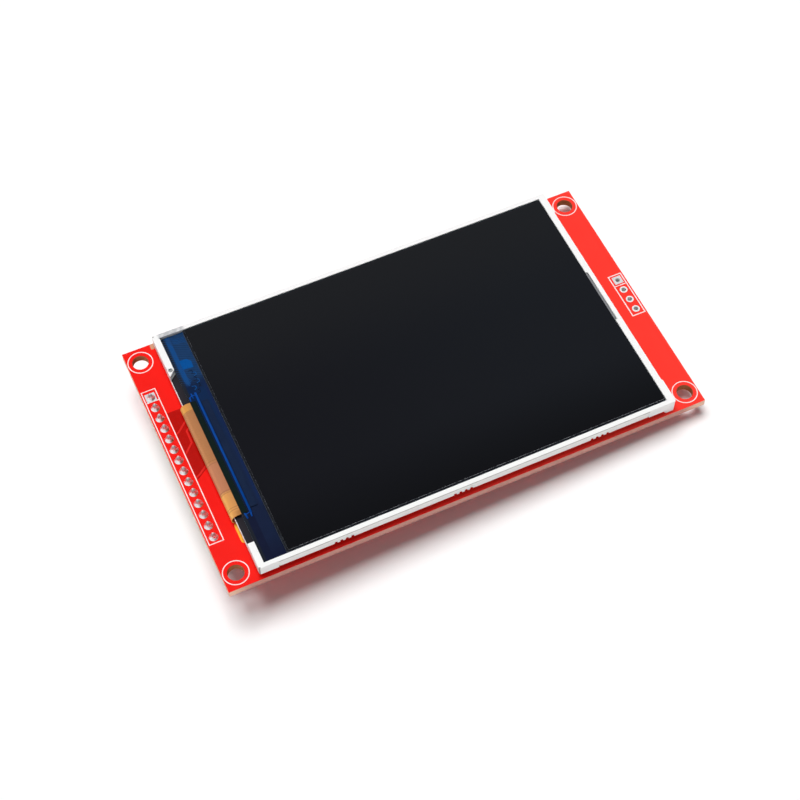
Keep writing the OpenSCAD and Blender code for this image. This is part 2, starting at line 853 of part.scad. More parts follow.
module socket_base() {
    base_w = socket_w - 2 * (shell_t + shell_gap);
    base_h = socket_h - shell_t - shell_gap;
    mouth_setback = thumb_d + shell_gap;
    window_l = socket_l - mouth_setback - rear_t - contact_l - 2 * floor_t;
    color(ink_black)
        on_underside(socket_x, socket_y)
            difference() {
                union() {
                    translate([0, -mouth_setback, 0])
                        rotate([90, 0, 0])
                            linear_extrude(socket_l - mouth_setback)
                                shell_section(base_w, base_h, shell_r - shell_t - shell_gap);
                    for (side = [-1, 1])
                        translate([side * peg_x, -peg_inset, -peg_l]) cylinder(h = peg_l + floor_t, d = peg_d);
                }
                translate([-card_w / 2, -socket_l + rear_t, floor_t]) cube([card_w, socket_l, socket_h]);
                translate([-card_w * 0.35, -mouth_setback - floor_t - window_l, -cut])
                    cube([card_w * 0.7, window_l, socket_h]);
                contact_places()
                    translate([-contact_w / 2 - shell_gap, -socket_l - cut, floor_t])
                        cube([contact_w + 2 * shell_gap, rear_t + 2 * cut, contact_t + shell_gap]);
            }
}

// Spring contacts: solder tail on the board, step up, through the rear wall, crest under the card
module socket_contacts() {
    half_t = contact_t / 2;
    wall_y = -socket_l;
    spring_y = wall_y + rear_t;
    run_z = floor_t + half_t;
    path = [
        [wall_y - contact_tail, half_t],
        [wall_y - 2 * contact_t - run_z, half_t],
        [wall_y - 2 * contact_t, run_z],
        [spring_y + 2 * contact_t, run_z],
        [spring_y + contact_l * 0.75, run_z + contact_rise],
        [spring_y + contact_l, run_z + contact_rise * 0.6]
    ];
    color(gold)
        on_underside(socket_x, socket_y)
            contact_places() along_x(contact_w) polygon(ribbon(path, contact_t));
}

// ---- Small parts under the board ----

// Three-lead package body, with slanted sides above and below the leads
module package_body() {
    stand = lead_t;
    middle = package_h / 2;
    half_w = package_w / 2;
    top_w = half_w - lead_t;
    along_x(package_l)
        polygon([
            [-top_w, stand], [top_w, stand], [half_w, middle - lead_t], [half_w, middle + lead_t],
            [top_w, package_h], [-top_w, package_h], [-half_w, middle + lead_t], [-half_w, middle - lead_t]
        ]);
}

// Gull-wing leads: two on one side of the package and one on the other
module package_leads() {
    out = package_w / 2;
    middle = package_h / 2;
    knee = lead_reach * 0.4;
    path = [
        [out, middle],
        [out + knee, middle],
        [out + knee + lead_t, lead_t / 2],
        [out + lead_reach, lead_t / 2]
    ];
    for (x = [-lead_pitch / 2, lead_pitch / 2])
        translate([x, 0, 0]) along_x(lead_w) polygon(ribbon(path, lead_t));
    mirror([0, 1, 0]) along_x(lead_w) polygon(ribbon(path, lead_t));
}

// Chip resistor or capacitor: a ceramic block between two metal ends
module passive(h) {
    body_w = passive_w - 2 * cap_end_t;
    translate([-passive_l / 2 + cap_end_t, -body_w / 2, cap_end_t])
        cube([passive_l - 2 * cap_end_t, body_w, h - 2 * cap_end_t]);
    for (side = [0, 1])
        mirror([side, 0, 0])
            translate([passive_l / 2 - cap_end_l, -passive_w / 2, 0])
                cube([cap_end_l, passive_w, h]);
}

// Place i (from 0) in the row of resistors, then capacitors, beside the header
module passive_place(i) {
    on_underside(header_x + passive_inset, row_place(i, resistor_count + capacitor_count, passive_pitch))
        children();
}

module resistor(i) {
    color(ink_black) passive_place(i - 1) passive(resistor_h);
}

module capacitor(i) {
    color([0.72, 0.6, 0.45]) passive_place(resistor_count + i - 1) passive(capacitor_h);
}

module regulator_body() {
    color(ink_black) on_underside(header_x + package_inset, package_l * 2) package_body();
}

module regulator_leads() {
    color(tin) on_underside(header_x + package_inset, package_l * 2) package_leads();
}

module transistor_body() {
    color(ink_black) on_underside(header_x + package_inset, -package_l * 2) package_body();
}

module transistor_leads() {
    color(tin) on_underside(header_x + package_inset, -package_l * 2) package_leads();
}

// ---- Nodes ----

board();
header_housing();
header_solder();
mounting_tape(-1);  // mounting_tape_front
mounting_tape(1);  // mounting_tape_rear
reflector_film();
backlight_frame();
light_guide();
led_strip();
diffuser_film();
prism_film_lower();
prism_film_upper();
shield_tape();
rear_polarizer();
array_glass();
filter_glass();
front_polarizer();
end_seal();
driver_chip();
display_flex();
socket_shell();
socket_base();
socket_contacts();
regulator_body();
regulator_leads();
transistor_body();
transistor_leads();
for (i = [1:pin_count]) header_pin(i);
for (i = [1:led_count]) led(i);
for (i = [1:resistor_count]) resistor(i);
for (i = [1:capacitor_count]) capacitor(i);
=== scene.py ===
import json
import math
import bmesh
import bpy
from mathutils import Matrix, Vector


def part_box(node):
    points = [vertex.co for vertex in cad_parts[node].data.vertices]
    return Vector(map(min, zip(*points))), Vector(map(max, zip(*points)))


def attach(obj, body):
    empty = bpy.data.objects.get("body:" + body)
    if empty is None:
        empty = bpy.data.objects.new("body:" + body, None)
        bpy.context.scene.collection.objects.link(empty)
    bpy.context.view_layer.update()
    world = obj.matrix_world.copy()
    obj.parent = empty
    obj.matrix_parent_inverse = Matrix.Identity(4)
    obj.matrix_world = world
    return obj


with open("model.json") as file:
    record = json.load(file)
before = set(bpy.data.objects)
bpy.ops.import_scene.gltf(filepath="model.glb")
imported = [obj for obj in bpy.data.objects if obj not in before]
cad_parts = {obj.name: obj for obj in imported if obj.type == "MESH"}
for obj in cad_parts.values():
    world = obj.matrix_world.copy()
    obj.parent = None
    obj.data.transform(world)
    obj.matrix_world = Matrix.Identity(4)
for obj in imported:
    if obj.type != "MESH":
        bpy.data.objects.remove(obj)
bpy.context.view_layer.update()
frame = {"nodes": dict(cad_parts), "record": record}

NODES = frame["nodes"]
MM = 0.001


# ---------------------------------------------------------------- places
def box_mm(node):
    """A CAD node's lowest and highest corner, in millimetres."""
    low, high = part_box(node)
    return low / MM, high / MM


def mount(name):
    return next(m for m in frame["record"]["mounts"] if m["name"] == name)


BOARD_LOW, BOARD_HIGH = box_mm("board")
TOP = BOARD_HIGH.z
UNDER = BOARD_LOW.z
PIN_COUNT = sum(1 for n in NODES if n.startswith("header_pin_"))
PINS = [sum(box_mm(f"header_pin_{i + 1}"), Vector()) / 2 for i in range(PIN_COUNT)]
PIN_X = PINS[0].x
PIN_PITCH = abs(PINS[1].y - PINS[0].y)
HOLE_DIMS = mount("mounting_holes")["dims"]
HOLES = [
    (sx * HOLE_DIMS["spacing_x_mm"] / 2, sy * HOLE_DIMS["spacing_y_mm"] / 2)
    for sx in (-1, 1)
    for sy in (-1, 1)
]
HOLE_R = HOLE_DIMS["hole_r_mm"]
CARD_X = mount("card_header_holes")["pos_m"][0] / MM
CARD_HOLES = [(CARD_X, PIN_PITCH * k) for k in (-1.5, -0.5, 0.5, 1.5)]


# ---------------------------------------------------------------- meshes
class Bag:
    """Collects closed forms, in millimetres, that become one piece."""

    def __init__(self):
        self.verts, self.faces = [], []

    def add(self, verts, faces):
        first = len(self.verts)
        self.verts += [Vector(v) for v in verts]
        self.faces += [[first + i for i in f] for f in faces]

    def loft(self, rings, wrap=False):
        """Joins rings of equal count. Wrap closes the last to the first, else both ends are capped."""
        n = len(rings[0])
        verts = [v for ring in rings for v in ring]
        faces = []
        spans = len(rings) if wrap else len(rings) - 1
        for r in range(spans):
            a, b = r * n, (r + 1) % len(rings) * n
            faces += [[a + i, a + (i + 1) % n, b + (i + 1) % n, b + i] for i in range(n)]
        if not wrap:
            faces.append([i for i in reversed(range(n))])
            faces.append([(len(rings) - 1) * n + i for i in range(n)])
        self.add(verts, faces)

    def sweep(self, path, section, closed=False):
        """Carries a section of (offset, height) pairs along a flat path, mitred at its corners."""
        pts = [Vector(p) for p in path]
        rings = []
        for i, p in enumerate(pts):
            before = pts[i - 1] if closed or i else None
            after = pts[(i + 1) % len(pts)] if closed or i + 1 < len(pts) else None
            d1 = (p - before).normalized() if before is not None else None
            d2 = (after - p).normalized() if after is not None else None
            d1, d2 = d1 or d2, d2 or d1
            along = (d1 + d2).normalized()
            side = Vector((along.y, -along.x)) / max(0.3, along.dot(d1))
            rings.append([(p.x + side.x * o, p.y + side.y * o, h) for o, h in section])
        self.loft(rings, wrap=closed)

    def stroke(self, path, width, low, high, closed=False):
        """A flat line of ink or track with slightly drawn-in upper edges."""
        w, t = width / 2, width / 2 - min(0.02, width / 8)
        section = [(-w, low), (w, low), (t, high), (-t, high)]
        if high < low:
            section.reverse()
        self.sweep(path, section, closed)

    def circle(self, x, y, r, width, low, high, count=64):
        path = [
            (x + r * math.cos(a), y + r * math.sin(a))
            for a in (math.tau * i / count for i in range(count))
        ]
        self.stroke(path, width, low, high, closed=True)

    def plate(self, outline, low, high):
        """An upright prism over a flat outline."""
        self.loft([[(x, y, low) for x, y in outline], [(x, y, high) for x, y in outline]])

    def lathe(self, x, y, profile, count=48):
        """A closed profile of (radius, height) turned about an upright line."""
        rings = []
        for i in range(count):
            a = math.tau * i / count
            rings.append([(x + r * math.cos(a), y + r * math.sin(a), z) for r, z in profile])
        self.loft(rings, wrap=True)

    def build(self, name, finish, smooth=False):
        mesh = bpy.data.meshes.new(name)
        mesh.from_pydata([v * MM for v in self.verts], [], self.faces)
        mesh.update()
        piece = bpy.data.objects.new(name, mesh)
        bpy.context.scene.collection.objects.link(piece)
        bm = bmesh.new()
        bm.from_mesh(mesh)
        bmesh.ops.recalc_face_normals(bm, faces=bm.faces)
        bm.to_mesh(mesh)
        bm.free()
        mesh.materials.append(finish)
        for face in mesh.polygons:
            face.use_smooth = smooth
        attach(piece, "root")
        return piece


def dome(width, low, high, steps=6):
    """The section of a rounded bead."""
    arc = [math.pi * i / steps for i in range(steps + 1)]
    return [(-width / 2 * math.cos(a), low + (high - low) * math.sin(a)) for a in reversed(arc)]


def rectangle(x0, y0, x1, y1):
    return [(x0, y0), (x1, y0), (x1, y1), (x0, y1)]


# ---------------------------------------------------------------- finishes
class Finish:
    """A Principled material whose patterns are laid out in millimetres."""

    def __init__(self, name, rough=0.5, spec=0.5, metal=0.0):
        self.mat = bpy.data.materials.new(name)
        self.mat.use_nodes = True
        self.nodes, self.links = self.mat.node_tree.nodes, self.mat.node_tree.links
        self.shader = self.nodes["Principled BSDF"]
        for socket, value in (("Roughness", rough), ("Specular IOR Level", spec), ("Metallic", metal)):
            self.shader.inputs[socket].default_value = value
        coords = self.nodes.new("ShaderNodeTexCoord")
        scale = self.add("ShaderNodeVectorMath", operation="SCALE")
        self.put(scale.inputs[0], coords.outputs["Object"])
        scale.inputs["Scale"].default_value = 1 / MM
        self.place = scale.outputs[0]
        split = self.add("ShaderNodeSeparateXYZ")
        self.put(split.inputs[0], self.place)
        self.x, self.y, self.z = split.outputs
        facing = self.add("ShaderNodeSeparateXYZ")
        geometry = self.add("ShaderNodeNewGeometry")
        self.put(facing.inputs[0], geometry.outputs["True Normal"])
        self.flat = self.step(self.math("ABSOLUTE", facing.outputs["Z"]), 0.75, 0.05)

    def add(self, kind, **settings):
        node = self.nodes.new(kind)
        for key, value in settings.items():
            setattr(node, key, value)
        return node

    def put(self, socket, value):
        if isinstance(value, bpy.types.NodeSocket):
            self.links.new(value, socket)
        elif isinstance(value, (tuple, list)) and len(value) == 3 and socket.type == "RGBA":
            socket.default_value = (*value, 1.0)
        else:
            socket.default_value = value

    def math(self, operation, a, b=0.0, c=0.0):
        node = self.add("ShaderNodeMath", operation=operation)
        for socket, value in zip(node.inputs, (a, b, c)):
            self.put(socket, value)
        return node.outputs[0]

    def step(self, value, at, soft):
        """0 below at, 1 above it, with a soft change."""
        node = self.add("ShaderNodeMapRange", interpolation_type="SMOOTHSTEP")
        for key, v in (("Value", value), ("From Min", at - soft), ("From Max", at + soft)):
            self.put(node.inputs[key], v)
        return node.outputs[0]

    def band(self, value, low, high, soft):
        """1 between low and high."""
        return self.both(self.step(value, low, soft), self.off(self.step(value, high, soft)))

    def both(self, *shares):
        out = shares[0]
        for share in shares[1:]:
            out = self.math("MULTIPLY", out, share)
        return out

    def mix(self, share, a, b):
        node = self.add("ShaderNodeMix", data_type="RGBA")
        colour_a, colour_b = [socket for socket in node.inputs if socket.type == "RGBA"]
        for socket, value in ((node.inputs["Factor"], share), (colour_a, a), (colour_b, b)):
            self.put(socket, value)
        return next(socket for socket in node.outputs if socket.type == "RGBA")

    def off(self, share):
        """The rest of a share: 1 where it is 0."""
        return self.math("SUBTRACT", 1.0, share)

    def tint(self, base, colour, share, strength):
        """Brings a base towards a colour by a part of a share."""
        return self.mix(self.math("MULTIPLY", share, strength), base, colour)

    def reach(self, x, y):
        """Distance from an upright line."""
        across = self.math("POWER", self.math("SUBTRACT", self.x, x), 2.0)
        along = self.math("POWER", self.math("SUBTRACT", self.y, y), 2.0)
        return self.math("SQRT", self.math("ADD", across, along))

    def noise(self, scale, detail=3.0, stretch=(1, 1, 1), rough=0.55, contrast=None):
        mapping = self.add("ShaderNodeMapping")
        self.put(mapping.inputs["Vector"], self.place)
        mapping.inputs["Scale"].default_value = stretch
        node = self.add("ShaderNodeTexNoise")
        self.put(node.inputs["Vector"], mapping.outputs[0])
        for key, v in (("Scale", scale), ("Detail", detail), ("Roughness", rough)):
            self.put(node.inputs[key], v)
        out = node.outputs["Fac"]
        return self.step(out, 0.5, contrast) if contrast else out

    def cells(self, scale):
        node = self.add("ShaderNodeTexVoronoi")
        self.put(node.inputs["Vector"], self.place)
        self.put(node.inputs["Scale"], scale)
        return node.outputs["Distance"]

    def stripes(self, value, pitch, share, soft):
        """1 on stripes that take a share of each pitch."""
        turn = self.math("FRACT", self.math("DIVIDE", value, pitch))
        off = self.math("ABSOLUTE", self.math("SUBTRACT", turn, 0.5))
        return self.off(self.step(off, share / 2, soft))

    def relief(self, height, depth, normal=None):
        """Bumps of this depth in millimetres, on rounded edges where a normal is given."""
        node = self.add("ShaderNodeBump")
        self.put(node.inputs["Height"], height)
        node.inputs["Distance"].default_value = depth * MM
        if normal is not None:
            self.put(node.inputs["Normal"], normal)
        return node.outputs[0]

    def soft_edges(self, radius):
        """A normal that rounds the edges by this radius in millimetres."""
        node = self.add("ShaderNodeBevel", samples=4)
        node.inputs["Radius"].default_value = radius * MM
        return node.outputs[0]

    def done(self, colour=None, rough=None, normal=None):
        if colour is not None:
            self.put(self.shader.inputs["Base Color"], colour)
        if rough is not None:
            self.put(self.shader.inputs["Roughness"], rough)
        if normal is not None:
            self.put(self.shader.inputs["Normal"], normal)
        return self.mat


def paint(finish, *names):
    for name in names:
        mesh = NODES[name].data
        if not mesh.materials:
            mesh.materials.append(finish)
        for slot in NODES[name].material_slots:
            slot.link = "OBJECT"
            slot.material = finish


# ---------------------------------------------------------------- camera
CAMERA_AT = Vector((-78.685, -166.552, 283.793)) * MM
LOOK = Vector((0.22226, 0.48499, -0.84580)).normalized()


def turn_to(thing, direction):
    thing.rotation_mode = "QUATERNION"
    thing.rotation_quaternion = direction.to_track_quat("-Z", "Y")


def photo_camera():
    data = bpy.data.cameras.new("camera")
    data.lens, data.sensor_width = 78.84, 36.0
    data.clip_start, data.clip_end = 0.01, 20.0
    camera = bpy.data.objects.new("camera", data)
    camera.location = CAMERA_AT
    turn_to(camera, LOOK)
    bpy.context.scene.collection.objects.link(camera)
    bpy.context.scene.camera = camera


photo_camera()


# ---------------------------------------------------------------- board finish
def laminate(f):
    """Colour of the board's cut edge: layers of glass cloth in pale resin, with painted light towards both
    ends.
    """
    layers = f.stripes(f.z, 0.23, 0.45, 0.2)
    cloth = f.noise(1.6, 4.0, (1.0, 1.0, 5.0))
    worn = f.noise(0.16, 2.0, contrast=0.12)
    base = f.mix(layers, (0.58, 0.265, 0.225), (0.46, 0.19, 0.155))
    base = f.tint(base, (0.70, 0.42, 0.35), cloth, 0.55)
    # Painted light: the edge is painted lighter towards both ends of the board.
    ends = f.step(f.math("ABSOLUTE", f.x), BOARD_HIGH.x - 3.0, 2.4)
    base = f.tint(base, (0.97, 0.62, 0.45), ends, 0.85)
    return f.tint(base, (0.30, 0.13, 0.10), worn, 0.12)


# The copper stops beside the flex: right of BARE_X, below BARE_TOP and above a slanted line.
BARE_X, BARE_TOP = -45.72, 11.9
BARE_SLOPE, BARE_FOOT = 0.67, 26.45
UNDER_DISPLAY = -30.0


def mask_finish():
    """Red solder mask, darker where the laminate has no copper, over a brown cut edge."""
    f = Finish("solder_mask", rough=0.2, spec=0.08)
    cloud = f.noise(0.09, 2.0)
    fine = f.noise(2.2, 3.0)
    across = f.step(f.x, 5.0, 45.0)
    red = f.mix(across, (0.84, 0.0125, 0.0085), (0.935, 0.046, 0.032))
    red = f.tint(red, (0.80, 0.007, 0.004), cloud, 0.25)
    red = f.tint(red, (0.74, 0.008, 0.004), fine, 0.10)
    slant = f.math("SUBTRACT", f.y, f.math("MULTIPLY_ADD", f.x, BARE_SLOPE, BARE_FOOT))
    bare = f.both(f.band(f.x, BARE_X, UNDER_DISPLAY, 0.06), f.off(f.step(f.y, BARE_TOP, 0.08)),
                  f.step(slant, 0.0, 0.08))
    weave = f.noise(1.1, 2.0, (1.0, 2.2, 1.0))
    dark = f.mix(weave, (0.37, 0.0022, 0.0006), (0.46, 0.0040, 0.0014))
    # Painted shade from the frame: the mask is painted darker in a band beside the flex.
    frame_shade = f.both(f.band(f.x, BARE_X - 0.08, UNDER_DISPLAY, 0.1), f.band(f.y, -15.8, 11.0, 2.5))
    red = f.tint(red, (0.72, 0.004, 0.003), frame_shade, 0.32)
    upper = f.step(f.z, (UNDER + TOP) / 2, 0.1)
    red = f.mix(f.both(bare, upper), red, dark)
    # A beige-brown spot at the rear edge, beside the frame's corner.
    spot = f.both(f.band(f.x, -43.35, -42.3, 0.12), f.step(f.y, BOARD_HIGH.y - 1.25, 0.15), upper)
    red = f.tint(red, (0.50, 0.36, 0.22), spot, 0.8)
    # Bored walls show the brown laminate.
    colour = f.mix(f.flat, laminate(f), red)
    for hx, hy in HOLES:
        bore = f.both(f.off(f.step(f.reach(hx, hy), HOLE_R + 0.25, 0.02)), f.off(f.flat))
        layers = f.stripes(f.z, 0.4, 0.4, 0.25)
        wall = f.mix(layers, (0.36, 0.125, 0.050), (0.58, 0.24, 0.10))
        colour = f.mix(bore, colour, wall)
    rough = f.math("MULTIPLY_ADD", f.off(f.flat), 0.5, 0.2)
    orange_peel = f.noise(0.9, 3.0)
    return f.done(colour, rough, f.relief(orange_peel, 0.012, f.soft_edges(0.06)))


def track_mask_finish():
    """Mask over copper, lighter than on the bare laminate beside it."""
    f = Finish("mask_over_tracks", rough=0.22, spec=0.08)
    cloud = f.noise(0.8, 3.0)
    colour = f.mix(cloud, (0.58, 0.0120, 0.0085), (0.72, 0.0220, 0.0170))
    return f.done(colour, normal=f.relief(f.noise(1.5), 0.01))


paint(mask_finish(), "board")


def ink_finish():
    f = Finish("white_ink", rough=0.55, spec=0.3)
    worn = f.noise(3.5, 3.0, contrast=0.12)
    colour = f.tint((0.93, 0.80, 0.80), (0.90, 0.52, 0.50), worn, 0.35)
    return f.done(colour, normal=f.relief(f.noise(6.0), 0.006))


def tin_finish(name, tone=(0.80, 0.80, 0.81), rough=0.24, grain=3.0):
    f = Finish(name, rough=rough, metal=1.0)
    dull = f.noise(grain, 3.0, contrast=0.15)
    colour = f.tint(tone, tuple(0.72 * c for c in tone), dull, 0.6)
    spread = f.math("MULTIPLY_ADD", dull, 0.16, rough)
    return f.done(colour, spread, f.relief(f.noise(grain * 0.7), 0.02))


def pad_finish():
    """Levelled tin: bright on top, and pale and dull inside the plated holes."""
    f = Finish("pad_tin", rough=0.3, spec=0.3)
    dull = f.noise(2.5, 3.0, contrast=0.15)
    colour = f.mix(dull, (0.86, 0.88, 0.87), (0.76, 0.78, 0.78))
    f.put(f.shader.inputs["Metallic"], f.math("MULTIPLY_ADD", f.flat, 0.45, 0.15))
    return f.done(colour, f.math("MULTIPLY_ADD", dull, 0.15, 0.3), f.relief(f.noise(1.8), 0.02))


TIN = tin_finish("tin")
SOLDER = tin_finish("solder_finish", (0.86, 0.86, 0.87), 0.2, 2.2)


# ---------------------------------------------------------------- print, pads and tracks on the board
INK_T, MASK_T, PAD_T = 0.03, 0.035, 0.03
RING_R, LINE_W = HOLE_R + 0.82, 0.2
CARD_LINE_W, CARD_RULE_W = 0.24, 0.22
PIN_ROW = min(p.y for p in PINS), max(p.y for p in PINS)


def print_frame(silk, x, row, margins, rule_y, inset, frame_w, rule_w):
    """The printed frame round a row of holes, with a rule beside the first of them.

    margins go left, right, below and above the row, and inset keeps the rule inside the frame.
    """
    left, right, below, above = margins
    corners = rectangle(x - left, row[0] - below, x + right, row[1] + above)
    silk.stroke(corners, frame_w, TOP, TOP + INK_T, closed=True)
    silk.stroke([(x - left + inset[0], rule_y), (x + right - inset[1], rule_y)], rule_w, TOP, TOP + INK_T)


silk = Bag()
for hx, hy in HOLES:
    silk.circle(hx, hy, RING_R, LINE_W, TOP, TOP + INK_T)
    silk.circle(hx, hy, RING_R, LINE_W, UNDER - INK_T, UNDER)
print_frame(silk, PIN_X, PIN_ROW, (1.33, 1.45, 1.3, 1.7), PIN_ROW[1] - PIN_PITCH / 2 + 0.3,
            (0.08, 0.08), LINE_W, LINE_W)
print_frame(silk, CARD_X, (CARD_HOLES[0][1], CARD_HOLES[-1][1]), (1.4, 1.3, 1.34, 1.34),
            CARD_HOLES[-1][1] - PIN_PITCH / 2, (0.05, 0.05), CARD_LINE_W, CARD_RULE_W)
silk.build("silkscreen", ink_finish())

PAD_R, BORE_R = 0.78, 0.5
PLATING_T, PLATING_GAP = 0.035, 0.002
pads = Bag()
for cx, cy in CARD_HOLES:
    inner, outer = BORE_R - PLATING_T, BORE_R - PLATING_GAP
    pads.lathe(cx, cy, [
        (inner, UNDER - PAD_T), (PAD_R, UNDER - PAD_T), (PAD_R, UNDER), (outer, UNDER),
        (outer, TOP), (PAD_R, TOP), (PAD_R - 0.03, TOP + PAD_T), (inner, TOP + PAD_T),
    ])
pads.build("card_header_pads", pad_finish())


def square_pad(name, cx, cy, half, inner):
    """A square pad with a round opening, as a ring that runs from a square to a circle."""
    bag = Bag()
    count = 64
    thick = PAD_T * 1.15
    for low, high in ((TOP, TOP + thick), (UNDER - thick, UNDER)):
        rings = []
        for i in range(count):
            a = math.tau * i / count
            c, s = math.cos(a), math.sin(a)
            out = half / max(abs(c), abs(s))
            rings.append([(cx + inner * c, cy + inner * s, low), (cx + out * c, cy + out * s, low),
                          (cx + out * c, cy + out * s, high), (cx + inner * c, cy + inner * s, high)])
        bag.loft(rings, wrap=True)
    return bag.build(name, TIN)


square_pad("pad_card_1", *CARD_HOLES[-1], 0.92, 0.52)
square_pad("pad_pin_1", PIN_X, PIN_ROW[1], 1.0, 0.78)

TRACK_W = 0.4
TRACK_START = -45.7
tracks = Bag()
for path in (
    [(TRACK_START, 6.85), (-45.2, 7.05), (-42.9, 9.1)],
    [(-42.95, 7.4), (-43.75, 6.65), (-43.75, 3.95), (TRACK_START, 1.95)],
    [(TRACK_START, -3.55), (-44.9, -3.2), (-42.9, -1.7)],
):
    tracks.stroke(path, TRACK_W, TOP, TOP + MASK_T)
tracks.build("mask_tracks", track_mask_finish())


# ---------------------------------------------------------------- plastics and metals
def plain_plastic(name, colour, shade, rough, spec, grain, depth, edge):
    f = Finish(name, rough=rough, spec=spec)
    cloud = f.noise(0.25, 3.0)
    fine = f.noise(grain, 3.0)
    base = f.tint(colour, shade, cloud, 0.6)
    base = f.tint(base, shade, fine, 0.3)
    spread = f.math("MULTIPLY_ADD", fine, 0.14, rough - 0.05)
    return f.done(base, spread, f.relief(f.noise(grain * 2.0), depth, f.soft_edges(edge)))


POL_LOW, _ = box_mm("front_polarizer")
GLASS_LOW, GLASS_HIGH = box_mm("array_glass")
LEDGE_Z = GLASS_HIGH.z
FLEX_LOW, _ = box_mm("display_flex")
_, FRAME_HIGH = box_mm("backlight_frame")
FILM_LOW, FILM_HIGH = box_mm("reflector_film")
# The dimple where the frame's plastic entered its mould.
GATE_X, GATE_Y, GATE_R = -42.05, 18.8, 0.46


def frame_finish():
    """White moulded plastic, with painted shade round the reflector's folded flap, in one corner and inside
    the gate's dimple.
    """
    f = Finish("frame_white", rough=0.42, spec=0.3)
    cloud, fine = f.noise(0.25, 3.0), f.noise(1.2, 3.0)
    colour = f.tint((0.88, 0.88, 0.875), (0.83, 0.83, 0.825), cloud, 0.6)
    colour = f.tint(colour, (0.80, 0.80, 0.795), fine, 0.25)
    wall = FRAME_HIGH.y
    inside = f.both(f.band(f.math("ABSOLUTE", f.y), wall - 0.32, wall - 0.04, 0.015),
                    f.band(f.x, FILM_LOW.x - 0.5, FILM_HIGH.x + 0.45, 0.05))
    # Painted shade: the recess round the reflector's flap and its end are painted grey.
    groove_shade = f.both(inside, f.band(f.z, FILM_HIGH.z - 0.3, FRAME_HIGH.z - 0.05, 0.02))
    tick_shade = f.both(inside, f.off(f.step(f.x, FILM_LOW.x + 0.1, 0.05)))
    colour = f.mix(f.math("MAXIMUM", groove_shade, tick_shade), colour, (0.30, 0.30, 0.30))
    # Painted shade, with darker specks, on the rear wall's corner by the ledge.
    speck = f.noise(1.5, 3.0, contrast=0.1)
    corner = f.both(f.band(f.x, GLASS_LOW.x - 0.3, POL_LOW.x + 0.2, 0.3),
                    f.step(f.y, GLASS_HIGH.y - 0.1, 0.05))
    dust = f.both(f.math("MULTIPLY_ADD", speck, 0.35, 0.45), corner)
    colour = f.mix(dust, colour, (0.36, 0.37, 0.39))
    # Painted shade: the inside of the gate's dimple is painted dark grey.
    gate_shade = f.both(f.off(f.step(f.reach(GATE_X, GATE_Y), GATE_R, 0.06)),
                  f.step(f.z, FRAME_HIGH.z - 1.0, 0.05), f.off(f.step(f.z, FRAME_HIGH.z - 0.03, 0.02)))
    colour = f.tint(colour, (0.22, 0.22, 0.22), gate_shade, 0.85)
    rough = f.math("MULTIPLY_ADD", fine, 0.14, 0.37)
    return f.done(colour, rough, f.relief(f.noise(2.4), 0.01, f.soft_edges(0.1)))


def film_finish():
    """White reflector film; the fold at the top of its flap is grey with shade and dust."""
    f = Finish("film_white", rough=0.35, spec=0.3)
    cloud, fine = f.noise(0.25, 3.0), f.noise(1.0, 3.0)
    colour = f.tint((0.88, 0.88, 0.865), (0.84, 0.84, 0.82), cloud, 0.6)
    fold = f.both(f.step(f.math("ABSOLUTE", f.y), FRAME_HIGH.y - 0.25, 0.03),
                  f.step(f.z, FILM_HIGH.z - 0.3, 0.06),
                  f.band(f.x, FILM_LOW.x + 1.2, FILM_HIGH.x - 0.6, 0.6))
    streak = f.noise(0.5, 3.0, contrast=0.2)
    shade = f.both(fold, f.math("MULTIPLY_ADD", streak, 0.25, 0.6))
    colour = f.mix(shade, colour, (0.24, 0.24, 0.24))
    rough = f.math("MULTIPLY_ADD", fine, 0.14, 0.30)
    return f.done(colour, rough, f.relief(f.noise(2.0), 0.006, f.soft_edges(0.03)))


PLASTICS = {
    # name: colour, shade, rough, spec, grain, depth, edge, and the nodes it is on
    "housing_black": ((0.022, 0.022, 0.023), (0.036, 0.036, 0.037), 0.5, 0.4, 4.0, 0.03, 0.1,
                      ["header_housing", "socket_base"]),
    "package_black": ((0.028, 0.028, 0.030), (0.045, 0.045, 0.047), 0.55, 0.35, 5.0, 0.03, 0.05,
                      ["regulator_body", "transistor_body"]),
    "tape_black": ((0.013, 0.011, 0.015), (0.024, 0.021, 0.026), 0.4, 0.10, 2.0, 0.01, 0.03,
                   ["shield_tape"]),
    "seal_grey": ((0.17, 0.175, 0.185), (0.22, 0.225, 0.235), 0.3, 0.4, 1.5, 0.04, 0.1,
                  ["end_seal"]),
    "led_body_white": ((0.88, 0.87, 0.80), (0.80, 0.76, 0.60), 0.4, 0.4, 2.0, 0.01, 0.05,
                       [n for n in NODES if n.startswith("led_") and n != "led_strip"]),
}
for name, (*look, nodes) in PLASTICS.items():
    paint(plain_plastic(name, *look), *nodes)
paint(frame_finish(), "backlight_frame")
paint(film_finish(), "reflector_film", "diffuser_film")
paint(SOLDER, "header_solder")
paint(TIN, "regulator_leads", "transistor_leads")


def foam_finish():
    f = Finish("foam", rough=0.9, spec=0.15)
    pores = f.cells(5.0)
    colour = f.mix(f.step(pores, 0.35, 0.2), (0.010, 0.010, 0.011), (0.045, 0.045, 0.047))
    return f.done(colour, normal=f.relief(pores, 0.08))


paint(foam_finish(), "mounting_tape_front", "mounting_tape_rear")


